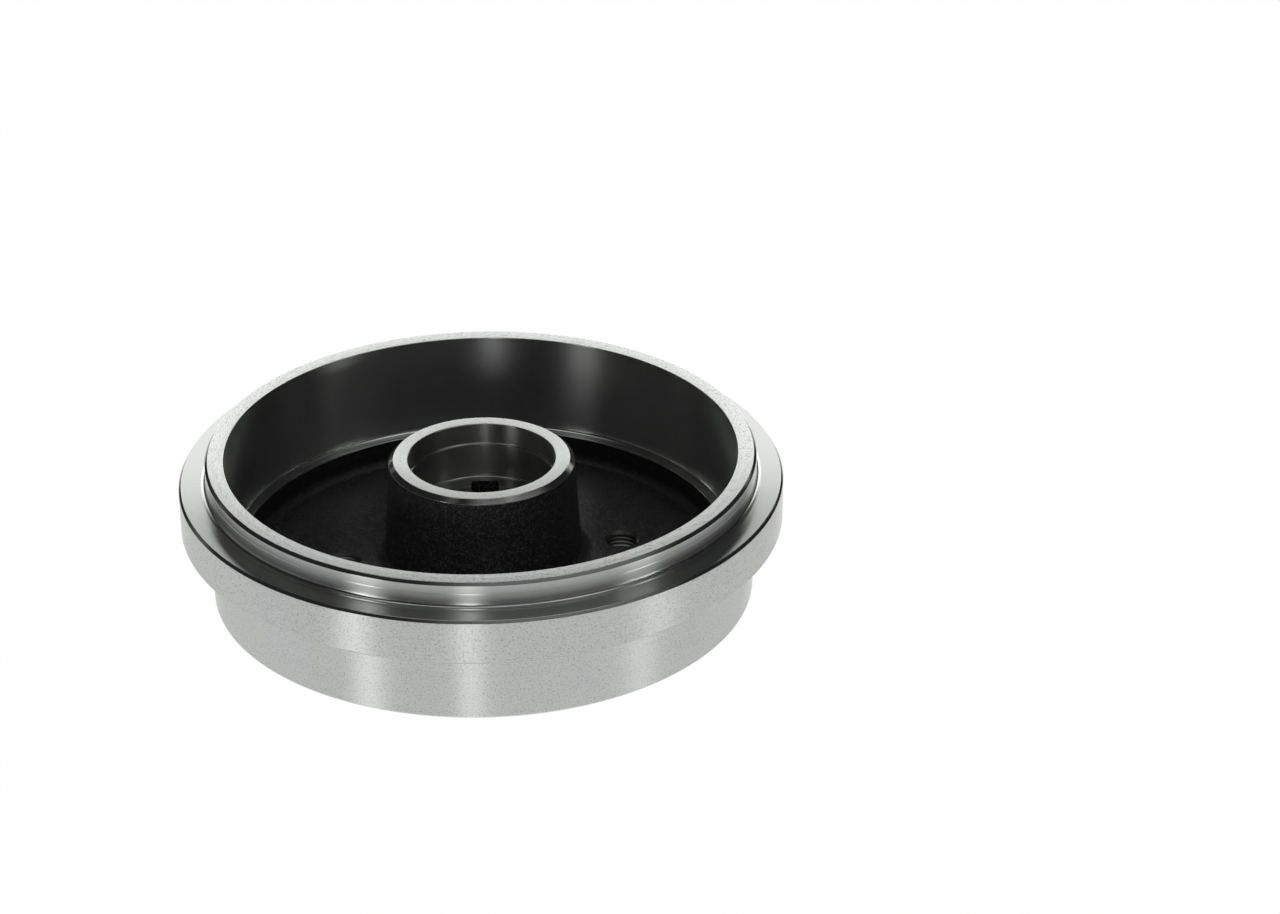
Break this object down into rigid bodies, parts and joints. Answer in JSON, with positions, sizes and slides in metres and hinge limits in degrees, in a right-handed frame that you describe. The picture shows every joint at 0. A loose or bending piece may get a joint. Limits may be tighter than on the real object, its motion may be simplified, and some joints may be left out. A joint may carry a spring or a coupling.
{
  "type": "brake drum",
  "caption": "Cast iron brake drum with an integral hub: turned brake surface, stiffening band, bearing seats in its boss, and a wheel face with a centring spigot and threaded bolt holes.",
  "frame": {"origin": "centre of the hub nose's end face, on which the drum stands", "axes": "+Z along the drum's axis, from the hub nose towards the open side; +Y lies through one race notch"},
  "size_m": [0.212, 0.212, 0.0744],
  "materials": {
    "turned_cast_iron": "turned bright grey iron; web and boss left as cast and black inside"
  },
  "bodies": {
    "root": {"brake_drum": "turned_cast_iron"}
  },
  "joints": []
}
